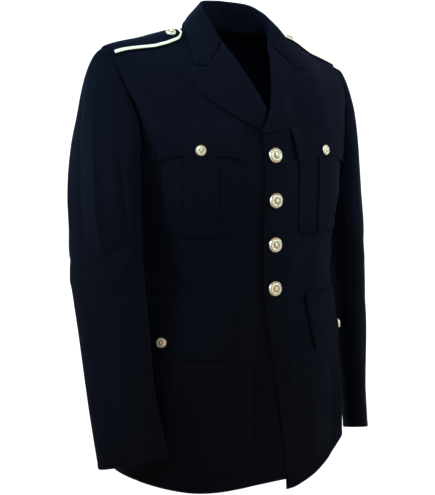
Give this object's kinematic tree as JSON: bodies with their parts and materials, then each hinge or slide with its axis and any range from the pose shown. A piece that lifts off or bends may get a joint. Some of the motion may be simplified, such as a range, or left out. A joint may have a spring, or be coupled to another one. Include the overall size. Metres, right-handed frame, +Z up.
{
  "type": "military dress jacket",
  "caption": "Single-breasted dress jacket with notched lapels, flapped chest and lower pockets, shoulder loops edged in braid and gilt buttons, worn and empty.",
  "frame": {"origin": "midway between the two points where the shoulder seams meet the collar, at the height of those seams", "axes": "+Z up as worn, -Y the way the wearer faces, +X the wearer's left"},
  "size_m": [0.523, 0.2756, 0.7434],
  "materials": {
    "jacket_cloth": "matt navy-black wool barathea",
    "gold_braid": "pale gold metallic thread braid",
    "gilt_metal": null
  },
  "bodies": {
    "root": {"front_left": "jacket_cloth", "side_left": "jacket_cloth", "back_left": "jacket_cloth", "sleeve_top_left": "jacket_cloth", "sleeve_under_left": "jacket_cloth", "lapel_left": "jacket_cloth", "chest_pocket_left": "jacket_cloth", "chest_flap_left": "jacket_cloth", "lower_flap_left": "jacket_cloth", "shoulder_loop_left": "jacket_cloth", "braid_left": "gold_braid", "chest_button_left": "gilt_metal", "lower_button_left": "gilt_metal", "loop_button_left": "gilt_metal", "front_right": "jacket_cloth", "side_right": "jacket_cloth", "back_right": "jacket_cloth", "sleeve_top_right": "jacket_cloth", "sleeve_under_right": "jacket_cloth", "lapel_right": "jacket_cloth", "chest_pocket_right": "jacket_cloth", "chest_flap_right": "jacket_cloth", "lower_flap_right": "jacket_cloth", "shoulder_loop_right": "jacket_cloth", "braid_right": "gold_braid", "chest_button_right": "gilt_metal", "lower_button_right": "gilt_metal", "loop_button_right": "gilt_metal", "collar": "jacket_cloth", "front_button_1": "gilt_metal", "front_button_2": "gilt_metal", "front_button_3": "gilt_metal", "front_button_4": "gilt_metal"}
  },
  "joints": []
}
